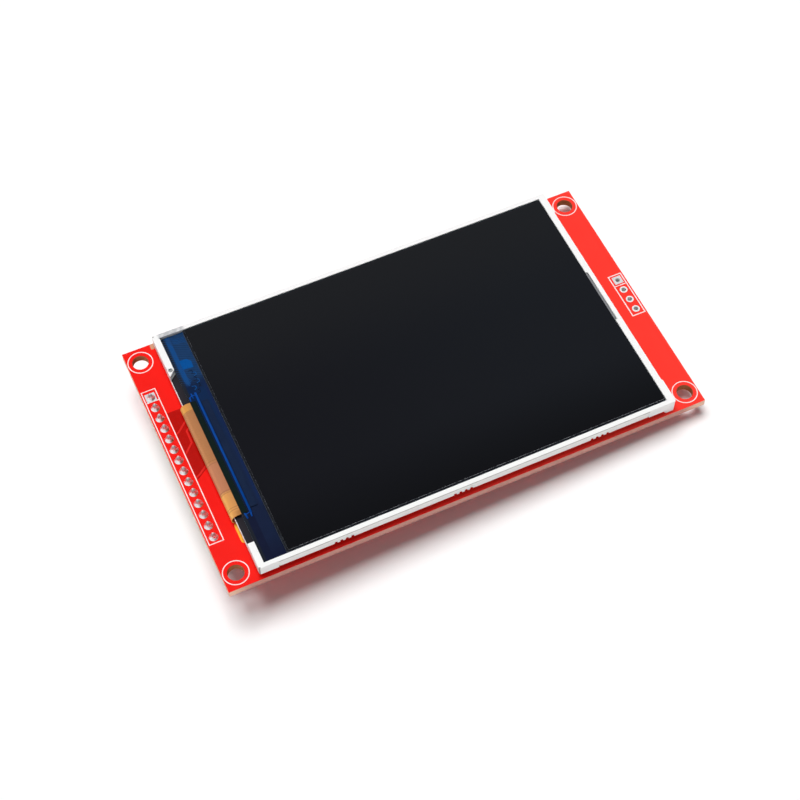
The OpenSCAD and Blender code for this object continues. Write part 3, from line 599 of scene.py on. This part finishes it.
def pin_finish():
    f = Finish("pin_plating", rough=0.28, metal=1.0)
    drawn = f.noise(3.0, 3.0, (4.0, 4.0, 0.35))
    gold = f.mix(drawn, (0.84, 0.69, 0.44), (0.74, 0.60, 0.38))
    tinned = f.step(f.z, -1.0, 0.8)
    colour = f.mix(tinned, gold, (0.62, 0.62, 0.63))
    rough = f.math("MULTIPLY_ADD", drawn, 0.2, 0.2)
    return f.done(colour, rough, f.relief(drawn, 0.01, f.soft_edges(0.05)))


paint(pin_finish(), *[f"header_pin_{i + 1}" for i in range(PIN_COUNT)])


def gold_finish():
    f = Finish("contact_plating", rough=0.25, metal=1.0)
    drawn = f.noise(2.0, 3.0, (1.0, 5.0, 1.0))
    return f.done(f.mix(drawn, (0.85, 0.62, 0.27), (0.72, 0.50, 0.20)), normal=f.relief(drawn, 0.01))


paint(gold_finish(), "socket_contacts")


def steel_finish():
    f = Finish("socket_steel_finish", rough=0.32, metal=1.0)
    drawn = f.noise(1.0, 4.0, (14.0, 0.5, 1.0))
    patch = f.noise(0.12, 3.0)
    colour = f.mix(drawn, (0.60, 0.60, 0.61), (0.72, 0.72, 0.73))
    colour = f.tint(colour, (0.52, 0.51, 0.50), patch, 0.3)
    rough = f.math("MULTIPLY_ADD", drawn, 0.18, 0.24)
    return f.done(colour, rough, f.relief(drawn, 0.004, f.soft_edges(0.08)))


paint(steel_finish(), "socket_shell")


END_CAP = 0.38


def passive_finish(node, body):
    """A ceramic body between two tinned ends, told apart along its length."""
    low, high = box_mm(node)
    span, middle = high - low, (low + high) / 2
    f = Finish(f"{node}_finish", rough=0.35, spec=0.4)
    along = f.math("SUBTRACT", f.x, middle.x) if span.x >= span.y else f.math("SUBTRACT", f.y, middle.y)
    ends = f.step(f.math("ABSOLUTE", along), max(span.x, span.y) / 2 - END_CAP, 0.03)
    grain = f.noise(4.0, 3.0)
    base = f.mix(grain, body, tuple(0.72 * c for c in body))
    colour = f.mix(ends, base, (0.76, 0.76, 0.77))
    f.put(f.shader.inputs["Metallic"], ends)
    rough = f.math("MULTIPLY_ADD", grain, 0.15, 0.28)
    return f.done(colour, rough, f.relief(grain, 0.02, f.soft_edges(0.06)))


for node in NODES:
    if node.startswith("resistor_"):
        paint(passive_finish(node, (0.03, 0.03, 0.035)), node)
    if node.startswith("capacitor_"):
        paint(passive_finish(node, (0.42, 0.30, 0.19)), node)


# ---------------------------------------------------------------- display finishes


def polarizer_finish():
    f = Finish("polarizer_finish", rough=0.14, spec=0.06)
    cloud = f.noise(0.035, 2.0)
    # Painted reflection of the studio: the screen is painted lighter towards the right and the back, and
    # darker towards the front.
    left, right = (0.0034, 0.0038, 0.0064), (0.0056, 0.0074, 0.0106)
    colour = f.mix(f.step(f.x, 2.0, 42.0), left, right)
    colour = f.tint(colour, (0.0058, 0.0060, 0.0085), cloud, 0.5)
    far = f.step(f.y, 14.0, 12.0)
    near = f.off(f.step(f.y, -20.0, 9.0))
    colour = f.tint(colour, (0.0098, 0.0105, 0.0120), far, 0.6)
    colour = f.tint(colour, (0.0010, 0.0013, 0.0024), near, 0.9)
    # The cut edge is painted speckled light grey, a painted highlight along the polarizer's edge.
    cut = f.mix(f.noise(2.4, 2.0, contrast=0.1), (0.10, 0.11, 0.13), (0.46, 0.47, 0.50))
    colour = f.mix(f.flat, cut, colour)
    fine = f.noise(6.0, 2.0)
    return f.done(colour, f.math("MULTIPLY_ADD", fine, 0.05, 0.13), f.relief(f.noise(0.3, 2.0), 0.004))


paint(polarizer_finish(), "front_polarizer", "rear_polarizer")


def upper_glass_finish():
    f = Finish("upper_glass", rough=0.06, spec=0.1)
    speck = f.noise(1.8, 3.0, contrast=0.08)
    rim = f.mix(speck, (0.0040, 0.0048, 0.0080), (0.012, 0.015, 0.020))
    edge = f.mix(f.noise(1.2, 3.0, (1.0, 1.0, 4.0)), (0.10, 0.13, 0.15), (0.30, 0.34, 0.36))
    return f.done(f.mix(f.flat, edge, rim), normal=f.relief(f.noise(0.5), 0.003, f.soft_edges(0.03)))


paint(upper_glass_finish(), "filter_glass")


# Places on the bare glass ledge: along Y, then across X.
LEDGE_FAR, LEDGE_LOW, LEDGE_MIDDLE = 15.2, -24.0, (-14.5, 14.0)
GREY_EDGE, COLUMN, LANE, STRIP = -40.72, (-40.45, -39.65), (-39.3, -36.9), (-37.35, -36.85)


def ledge_finish():
    """The bare glass over black tape, with fine tracks between flex, chip and screen."""
    f = Finish("ledge_glass", rough=0.08, spec=0.04)
    cloud = f.noise(0.5, 3.0)
    far = f.step(f.y, LEDGE_FAR, 1.6)
    middle = f.band(f.y, *LEDGE_MIDDLE, 1.6)
    navy = f.mix(cloud, (0.0040, 0.0068, 0.0230), (0.0062, 0.0096, 0.0330))
    blue = f.mix(f.noise(0.8, 3.0), (0.0055, 0.0260, 0.0760), (0.0110, 0.0390, 0.1150))
    teal = f.mix(f.step(f.y, 3.0, 9.0), (0.0058, 0.0125, 0.0420), (0.0018, 0.0165, 0.0660))
    colour = f.tint(f.mix(far, navy, blue), teal, middle, 0.85)
    strip = f.both(f.band(f.x, *STRIP, 0.12), middle, f.off(far))
    colour = f.mix(strip, colour, (0.0045, 0.0130, 0.0600))
    column = f.both(f.band(f.x, *COLUMN, 0.18), f.step(f.y, LEDGE_FAR - 0.6, 0.6))
    colour = f.tint(colour, (0.0095, 0.0510, 0.1750), column, 0.85)
    colour = f.mix(f.off(f.step(f.x, GREY_EDGE, 0.16)), colour, (0.0120, 0.0150, 0.0220))
    # Very fine tracks run across the ledge to the screen.
    combs = f.stripes(f.y, 0.20, 0.5, 0.2)
    lane = f.both(f.band(f.x, *LANE, 0.1), f.off(far), f.step(f.y, LEDGE_LOW, 3.0))
    colour = f.tint(colour, (0.0120, 0.0330, 0.0900), f.both(combs, lane), 0.35)
    fan = f.stripes(f.math("MULTIPLY_ADD", f.x, 0.45, f.y), 0.55, 0.35, 0.15)
    colour = f.tint(colour, (0.0120, 0.0660, 0.2000), f.both(fan, far), 0.3)
    edge = f.mix(f.noise(1.2, 3.0, (1.0, 1.0, 4.0)), (0.05, 0.08, 0.11), (0.20, 0.26, 0.30))
    colour = f.mix(f.flat, edge, colour)
    return f.done(colour, normal=f.relief(f.noise(0.5), 0.003, f.soft_edges(0.03)))


paint(ledge_finish(), "array_glass")


def chip_finish():
    f = Finish("driver_chip_finish", rough=0.18, spec=0.06)
    cloud = f.noise(0.9, 3.0)
    colour = f.mix(cloud, (0.0030, 0.0100, 0.0360), (0.0075, 0.0180, 0.0500))
    side = f.mix(f.noise(6.0), (0.012, 0.022, 0.055), (0.03, 0.045, 0.09))
    return f.done(f.mix(f.flat, side, colour), normal=f.relief(f.noise(2.0), 0.006, f.soft_edges(0.03)))


paint(chip_finish(), "driver_chip")


# Where the flex changes along Y, from its ear to its top, and where the bonded strip starts.
EAR_LENGTH, BROWN_END, WARM_END, MAUVE, CLOTH_START, TOP_START = 4.3, -14.6, -10.2, (-10.1, -3.3), -2.8, 9.0
CREASES = (-2.9, -3.5, -9.9, -10.4, -13.7, -14.2, 9.05)
BOND_X, BOND_Z = -41.28, 2.3


def flex_finish():
    """Copper under a cover film: zones along the fold with a painted highlight at its bend, a hatched
    ground, creases painted dark as painted shade, and a dark bond.
    """
    f = Finish("flex_finish", rough=0.34, spec=0.12)
    grain = f.noise(1.4, 3.0)
    # Painted highlight: the flex is painted lighter towards the outer bend of its fold.
    inward = f.step(f.x, FLEX_LOW.x + 1.25, 0.75)
    outer = f.off(f.step(f.x, FLEX_LOW.x + 0.5, 0.28))

    def zone(bend, middle, inner):
        """Colour across the fold, painted brightest at its outer bend as a painted highlight."""
        return f.mix(outer, f.mix(inward, middle, inner), bend)

    plain = zone((0.62, 0.275, 0.120), (0.43, 0.180, 0.072), (0.375, 0.155, 0.064))
    mauve = zone((0.60, 0.240, 0.125), (0.45, 0.175, 0.098), (0.400, 0.155, 0.082))
    warm = zone((0.86, 0.460, 0.130), (0.66, 0.300, 0.085), (0.540, 0.245, 0.078))
    bright = zone((0.87, 0.450, 0.110), (0.70, 0.310, 0.065), (0.50, 0.240, 0.065))
    colour = f.mix(f.band(f.y, *MAUVE, 0.2), plain, mauve)
    colour = f.mix(f.off(f.step(f.y, WARM_END, 0.2)), colour, warm)
    brown = f.both(f.off(f.step(f.y, BROWN_END, 0.3)), inward)
    colour = f.tint(colour, (0.26, 0.100, 0.022), brown, 0.7)
    top = f.step(f.y, TOP_START, 0.25)
    colour = f.mix(top, colour, bright)
    hatch = f.math("MAXIMUM", f.stripes(f.math("ADD", f.x, f.y), 0.42, 0.35, 0.2),
                   f.stripes(f.math("SUBTRACT", f.x, f.y), 0.42, 0.35, 0.2))
    cloth = f.both(hatch, f.step(f.y, CLOTH_START, 0.15), f.off(f.math("MULTIPLY", top, 0.6)))
    colour = f.tint(colour, (0.22, 0.090, 0.040), cloth, 0.30)
    colour = f.tint(colour, (0.56, 0.26, 0.095), grain, 0.25)
    # Each crease is painted darker, as painted shade in the crease.
    for at in CREASES:
        colour = f.tint(colour, (0.24, 0.100, 0.045), f.band(f.y, at - 0.07, at + 0.07, 0.05), 0.55)
    ear = f.off(f.step(f.y, FLEX_LOW.y + EAR_LENGTH, 0.15))
    colour = f.tint(colour, (0.96, 0.50, 0.045), ear, 0.9)
    # The bonded strip is dark and dull under its cover of resin.
    bond = f.both(f.step(f.x, BOND_X, 0.06), f.step(f.z, BOND_Z, 0.1))
    green = f.mix(f.noise(2.0, 3.0), (0.0020, 0.0072, 0.0066), (0.0062, 0.0135, 0.0120))
    colour = f.mix(bond, colour, green)
    f.put(f.shader.inputs["Specular IOR Level"], f.math("MULTIPLY_ADD", bond, -0.09, 0.12))
    lanes = f.stripes(f.y, 0.3, 0.5, 0.2)
    rough = f.math("MULTIPLY_ADD", grain, 0.15, 0.28)
    return f.done(colour, rough, f.relief(lanes, 0.006, f.soft_edges(0.04)))


paint(flex_finish(), "display_flex")


def amber_finish():
    f = Finish("strip_amber", rough=0.35, spec=0.4)
    grain = f.noise(1.4, 3.0)
    lanes = f.stripes(f.x, 0.9, 0.4, 0.1)
    colour = f.mix(lanes, (0.52, 0.24, 0.08), (0.40, 0.17, 0.06))
    return f.done(f.tint(colour, (0.62, 0.32, 0.12), grain, 0.4))


paint(amber_finish(), "led_strip")


def clear_finish(name, tone, ridge):
    f = Finish(name, rough=0.2, spec=0.5)
    dots = f.cells(1.6)
    lines = f.stripes(f.y, 0.12, 0.5, 0.25)
    share = lines if ridge else f.step(dots, 0.3, 0.1)
    colour = f.tint(tone, tuple(0.8 * c for c in tone), share, 0.35)
    return f.done(colour, normal=f.relief(share, 0.01))


paint(clear_finish("guide_acrylic", (0.74, 0.79, 0.80), False), "light_guide")
paint(clear_finish("prism_sheet", (0.72, 0.75, 0.78), True), "prism_film_lower", "prism_film_upper")


# ---------------------------------------------------------------- ledge pieces
def bead_finish():
    f = Finish("blue_sealant", rough=0.2, spec=0.04)
    streak = f.noise(1.2, 3.0, (3.0, 0.6, 1.0))
    colour = f.mix(streak, (0.0015, 0.0420, 0.2300), (0.0035, 0.0700, 0.3600))
    return f.done(colour, normal=f.relief(f.noise(2.0), 0.02))


BEAD_X, BEAD_T = -39.55, 0.08
bead = Bag()
bead.sweep([(BEAD_X, 12.5), (BEAD_X, -15.9)], dome(0.44, LEDGE_Z, LEDGE_Z + BEAD_T))
# The bead ends in short runs round the flex's corners.
for width, drop, path in (
    (0.30, 0.02, [(-40.95, 10.9), (-40.9, 11.8)]),
    (0.24, 0.02, [(-41.0, 11.75), (-40.3, 12.05), (BEAD_X, 11.95)]),
    (0.26, 0.02, [(-40.35, 12.6), (-40.3, 11.3)]),
    (0.34, 0.02, [(-40.75, -15.2), (-40.55, -16.9)]),
    (0.30, 0.02, [(BEAD_X - 0.05, -15.7), (-39.7, -16.8)]),
    (0.20, 0.03, [(-40.7, -16.0), (-39.6, -15.75)]),
):
    bead.sweep(path, dome(width, LEDGE_Z, LEDGE_Z + BEAD_T - drop))
bead.build("bond_sealant", bead_finish(), smooth=True)


def track_blue_finish():
    f = Finish("glass_tracks", rough=0.2, spec=0.03)
    grain = f.noise(2.5, 3.0)
    colour = f.mix(grain, (0.0015, 0.0580, 0.2350), (0.0030, 0.0800, 0.3000))
    return f.done(colour, normal=f.relief(grain, 0.004))


def shade_finish():
    """Near-black print on the glass."""
    f = Finish("glass_print", rough=0.3, spec=0.03)
    colour = f.mix(f.noise(3.0, 3.0), (0.0015, 0.0045, 0.0140), (0.0040, 0.0085, 0.0230))
    return f.done(colour, normal=f.relief(f.noise(3.0), 0.003))


GLASS_TRACKS = track_blue_finish()
PRINT_LOW, PRINT_HIGH, LOOP_HIGH = LEDGE_Z, LEDGE_Z + 0.012, LEDGE_Z + 0.010
FINE_W, MARK_W, LOOP_W = 0.07, 0.14, 0.12
patches = Bag()
patches.plate([(-39.75, 18.3), (-37.7, 18.1), (-37.6, 19.6), (-38.3, 20.4), (-39.7, 20.5)],
              PRINT_LOW, PRINT_HIGH)
for k in range(5):
    x, y = -40.42 + 0.17 * k, 0.2 * k
    path = [(x, 25.6 - 0.3 * k), (x, 15.6 + y), (x + 0.55, 14.4 + y)]
    patches.stroke(path, FINE_W, PRINT_LOW, PRINT_HIGH)
for k in range(4):
    y = 26.0 - 0.35 * k
    patches.stroke([(-39.4, y), (-38.5, y - 0.5), (-36.95, y - 0.5)], FINE_W, PRINT_LOW, PRINT_HIGH)
patches.build("glass_track_lines", GLASS_TRACKS)

# turn is 1 or -1, and mirrors a mark about its middle.
marks = Bag()
for cx, cy, turn in ((-38.5, 17.2, 1), (-38.35, 15.6, -1), (-38.2, 13.9, 1), (-38.7, 12.6, -1)):
    marks.stroke([(cx - 0.5, cy + 0.45 * turn), (cx + 0.15, cy + 0.4 * turn), (cx + 0.3, cy),
                  (cx - 0.05, cy - 0.35 * turn), (cx + 0.45, cy - 0.45 * turn)],
                 MARK_W, PRINT_LOW, PRINT_HIGH)
marks.build("glass_marks", shade_finish())

loops = Bag()
for cx, cy, turn in ((-38.0, 16.6, 1), (-38.0, 14.9, -1), (-39.1, 13.6, 1)):
    loops.stroke([(cx - 0.5, cy + 0.5 * turn), (cx + 0.2, cy + 0.3 * turn),
                  (cx + 0.25, cy - 0.2 * turn), (cx - 0.3, cy - 0.5 * turn)],
                 LOOP_W, PRINT_LOW, LOOP_HIGH)
loops.build("glass_loops", GLASS_TRACKS)


# ---------------------------------------------------------------- stage
FLOOR_HALF, FLOOR_GAP, PIN_HALF = 380.0, 0.02, 0.15


class Tree:
    """The nodes of the floor's material or of the world."""

    def __init__(self, owner):
        owner.use_nodes = True
        self.nodes, self.links = owner.node_tree.nodes, owner.node_tree.links

    def add(self, kind, **settings):
        node = self.nodes.new(kind)
        for key, value in settings.items():
            setattr(node, key, value)
        return node

    def math(self, operation, *values):
        node = self.add("ShaderNodeMath", operation=operation)
        for socket, value in zip(node.inputs, values):
            if isinstance(value, bpy.types.NodeSocket):
                self.links.new(value, socket)
            else:
                socket.default_value = value
        return node.outputs[0]

    def spread(self, value, low, high, to_low, to_high, **settings):
        node = self.add("ShaderNodeMapRange", **settings)
        self.links.new(value, node.inputs["Value"])
        for key, limit in (("From Min", low), ("From Max", high), ("To Min", to_low), ("To Max", to_high)):
            node.inputs[key].default_value = limit
        return node.outputs[0]


def floor_finish():
    """Near-white, with a little light of its own for the camera, so that it reads as white."""
    finish = bpy.data.materials.new("floor_finish")
    tree = Tree(finish)
    shader = tree.nodes["Principled BSDF"]
    for socket, value in (
        ("Base Color", (0.985, 0.985, 0.985, 1.0)),
        ("Roughness", 0.9),
        ("Specular IOR Level", 0.0),
        ("Emission Color", (1.0, 1.0, 1.0, 1.0)),
    ):
        shader.inputs[socket].default_value = value
    path = tree.add("ShaderNodeLightPath")
    glow = tree.math("MULTIPLY", path.outputs["Is Camera Ray"], 0.045)
    tree.links.new(glow, shader.inputs["Emission Strength"])
    return finish


def tilt_floor():
    """The floor under the pin tips and the card socket's lowest edge."""
    pin_low, _ = box_mm("header_pin_1")
    shell_low, shell_high = box_mm("socket_shell")
    slope = (shell_low.z - pin_low.z) / (shell_high.x - (PIN_X - PIN_HALF))
    lift = pin_low.z - slope * (PIN_X - PIN_HALF) - FLOOR_GAP
    mesh = bpy.data.meshes.new("floor")
    corners = rectangle(-FLOOR_HALF, -FLOOR_HALF, FLOOR_HALF, FLOOR_HALF)
    mesh.from_pydata([Vector((x, y, lift + slope * x)) * MM for x, y in corners], [], [[0, 1, 2, 3]])
    mesh.materials.append(floor_finish())
    floor = bpy.data.objects.new("floor", mesh)
    bpy.context.scene.collection.objects.link(floor)
    return floor


STUDIO_LEVEL, DARK_LEVEL = 0.17, 0.22
DARK_SIDE = Vector((0.80, -0.58, 0.12)).normalized()


def studio_world():
    """White where it is seen or mirrored, a dim even light elsewhere, and darker on one side."""
    world = bpy.data.worlds.new("studio")
    bpy.context.scene.world = world
    tree = Tree(world)
    background = tree.nodes["Background"]
    background.inputs["Color"].default_value = (1.0, 1.0, 1.0, 1.0)
    path = tree.add("ShaderNodeLightPath").outputs
    seen = tree.math("MAXIMUM", path["Is Camera Ray"], path["Is Glossy Ray"])
    seen = tree.math("MAXIMUM", seen, path["Is Transmission Ray"])
    level = tree.spread(seen, 0.0, 1.0, STUDIO_LEVEL, 1.0)
    # The dark side models the small metal forms.
    direction = tree.add("ShaderNodeTexCoord")
    toward = tree.add("ShaderNodeVectorMath", operation="DOT_PRODUCT")
    tree.links.new(direction.outputs["Generated"], toward.inputs[0])
    toward.inputs[1].default_value = DARK_SIDE
    dark = tree.spread(toward.outputs["Value"], 0.35, 0.75, 1.0, DARK_LEVEL,
                       interpolation_type="SMOOTHSTEP")
    shown = tree.math("MAXIMUM", dark, path["Is Camera Ray"])
    tree.links.new(tree.math("MULTIPLY", level, shown), background.inputs["Strength"])


def sun(name, azimuth, elevation, level, spread, left_out=None):
    """A soft far lamp. level is what it adds to a white surface that faces it."""
    data = bpy.data.lights.new(name, "SUN")
    data.energy, data.angle = level * math.pi, math.radians(spread)
    light = bpy.data.objects.new(name, data)
    bpy.context.scene.collection.objects.link(light)
    a, e = math.radians(azimuth), math.radians(elevation)
    turn_to(light, -Vector((math.sin(a) * math.cos(e), -math.cos(a) * math.cos(e), math.sin(e))))
    light.visible_glossy = False
    if left_out:
        receivers = bpy.data.collections.new(f"{name}_left_out")
        receivers.objects.link(left_out)
        receivers.collection_objects[0].light_linking.link_state = "EXCLUDE"
        light.light_linking.receiver_collection = receivers


floor = tilt_floor()
studio_world()
sun("key", 200.0, 74.0, 0.88, 34.0)
sun("fill_front", -25.0, 10.0, 0.38, 50.0, left_out=floor)
sun("fill_back", 155.0, 10.0, 0.28, 50.0, left_out=floor)
bpy.context.scene.view_settings.view_transform = "Standard"
